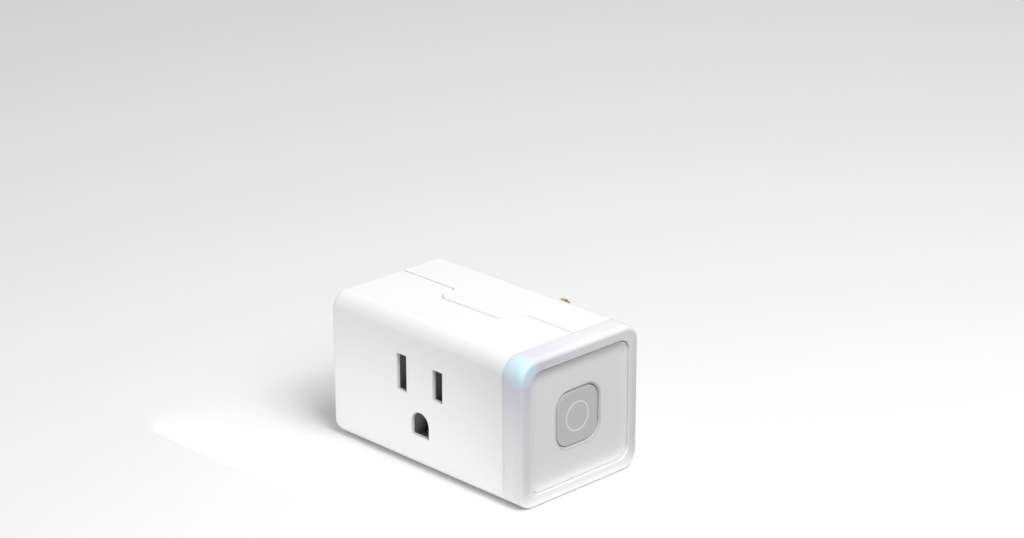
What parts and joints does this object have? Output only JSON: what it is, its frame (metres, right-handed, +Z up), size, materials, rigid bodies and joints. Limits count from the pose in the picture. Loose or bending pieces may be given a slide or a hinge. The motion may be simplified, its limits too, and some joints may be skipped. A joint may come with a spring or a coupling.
{
  "type": "smart plug",
  "caption": "Plug-in outlet adapter with prongs on the back, a three-hole socket on the front, a frosted light ring and a push button on one end.",
  "frame": {"origin": "on the wall face, midway between the two flat blades", "axes": "+X runs along the case to the button end, +Y points into the wall as the prongs do, +Z is up with the ground pin below the blades"},
  "size_m": [0.067, 0.061, 0.038],
  "materials": {
    "white_shell": "satin moulded white",
    "frosted_diffuser": "frosted translucent",
    "panel_grey": "satin light grey",
    "button_grey": "satin mid grey",
    "inlay_white": "satin",
    "label_paper": "blank",
    "prong_brass": "stamped and polished",
    "black_nylon": "moulded",
    "carrier_grey": "moulded",
    "screw_steel": "zinc plated",
    "spring_bronze": "rolled strip",
    "copper_strip": "rolled strip",
    "board_green": "solder mask",
    "insulation_film": "thin film",
    "relay_blue": "moulded",
    "bobbin_cream": "moulded",
    "winding_copper": "enamelled wire",
    "relay_iron": "zinc plated",
    "capacitor_sleeve": "shrink sleeve",
    "ferrite": "sintered",
    "winding_tape": "tape",
    "varistor_blue": "dipped",
    "resistor_body": "coated",
    "chip_black": "moulded",
    "shield_tin": "tin plated",
    "led_lens": "clear over white",
    "pin_gold": "plated"
  },
  "bodies": {
    "housing": {"front_housing": "white_shell", "rear_cover": "white_shell", "light_ring": "frosted_diffuser", "end_panel": "panel_grey", "rating_label": "label_paper", "neutral_blade": "prong_brass", "line_blade": "prong_brass", "ground_pin": "prong_brass", "prong_retainer": "black_nylon", "retainer_screws": "screw_steel", "contact_carrier": "carrier_grey", "carrier_screws": "screw_steel", "neutral_contact": "spring_bronze", "line_contact": "spring_bronze", "ground_contact": "spring_bronze", "neutral_busbar": "copper_strip", "line_busbar": "copper_strip", "ground_strap": "copper_strip", "main_board": "board_green", "board_screws": "screw_steel", "insulation_sheet": "insulation_film", "relay_base": "relay_blue", "relay_bobbin": "bobbin_cream", "relay_winding": "winding_copper", "relay_core": "relay_iron", "relay_yoke": "relay_iron", "relay_fixed_contact": "spring_bronze", "relay_cover": "relay_blue", "bulk_capacitors": "capacitor_sleeve", "transformer_core": "ferrite", "transformer_winding": "winding_tape", "varistor": "varistor_blue", "fuse_resistor": "resistor_body", "bridge_rectifier": "chip_black", "converter_chip": "chip_black", "wifi_board": "board_green", "wifi_shield": "shield_tin", "board_header": "black_nylon", "status_board": "board_green", "status_leds": "led_lens", "switch_body": "black_nylon", "switch_dome": "screw_steel", "link_header": "black_nylon", "link_pins": "pin_gold", "panel_screws": "screw_steel", "housing_screws": "screw_steel"},
    "button": {"power_button": "button_grey", "button_ring_mark": "inlay_white"},
    "plunger": {"switch_plunger": "black_nylon"},
    "armature": {"relay_armature": "relay_iron", "relay_contact_arm": "spring_bronze"}
  },
  "joints": [
    {"name": "button_press", "type": "slide", "parent": "housing", "child": "button", "axis": [-1, 0, 0], "range_m": [0, 0.0004], "stiffness_N_per_m": 1500},
    {"name": "plunger_press", "type": "slide", "parent": "housing", "child": "plunger", "axis": [-1, 0, 0], "range_m": [0, 0.0004]},
    {"name": "armature_swing", "type": "hinge", "parent": "housing", "child": "armature", "pos_m": [0.0179, -0.0232, -0.0043], "axis": [1, 0, 0], "range_deg": [0, 2.2], "stiffness_Nm_per_rad": 0.05}
  ],
  "couplings": [
    {"joint": "plunger_press", "follows": "button_press", "ratio": 1}
  ]
}
